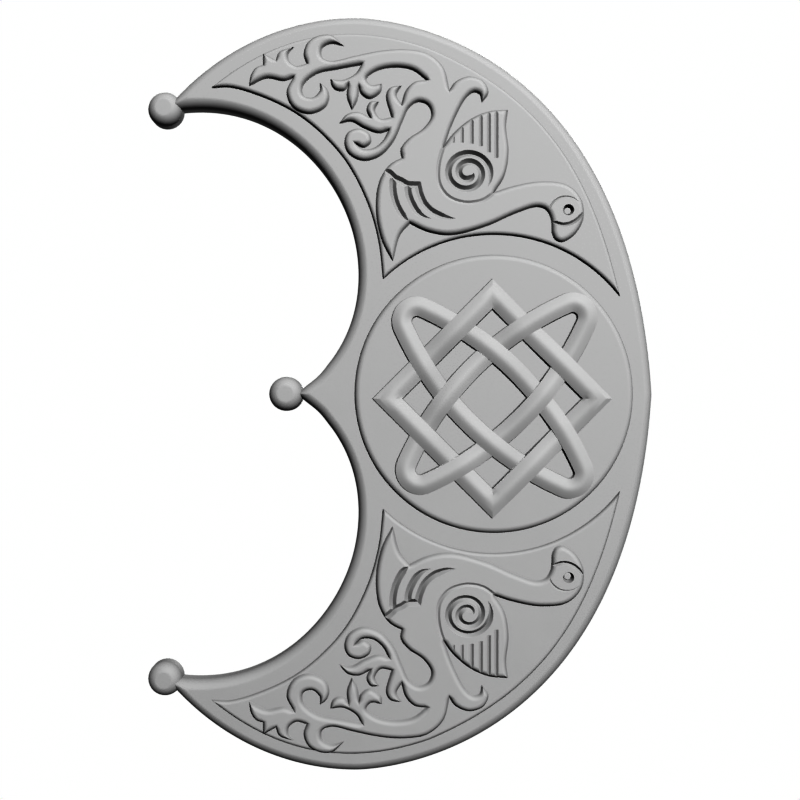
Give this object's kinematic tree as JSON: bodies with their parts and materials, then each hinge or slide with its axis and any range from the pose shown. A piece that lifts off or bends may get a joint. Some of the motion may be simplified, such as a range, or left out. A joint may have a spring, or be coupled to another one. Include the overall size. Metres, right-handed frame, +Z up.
{
  "type": "crescent onlay with interlaced star and birds",
  "caption": "Flat-backed crescent onlay with ball tips, an interlaced star medallion and mirrored birds among leaves in low relief.",
  "frame": {"origin": "on the flat back, behind the centre of the medallion", "axes": "+Z up through the upper arm, +Y out of the flat back into the wall, +X away from the crescent's opening"},
  "size_m": [0.1269, 0.0105, 0.1896],
  "materials": {
    "cast_body": "satin"
  },
  "bodies": {
    "root": {"crescent_onlay": "cast_body"}
  },
  "joints": []
}
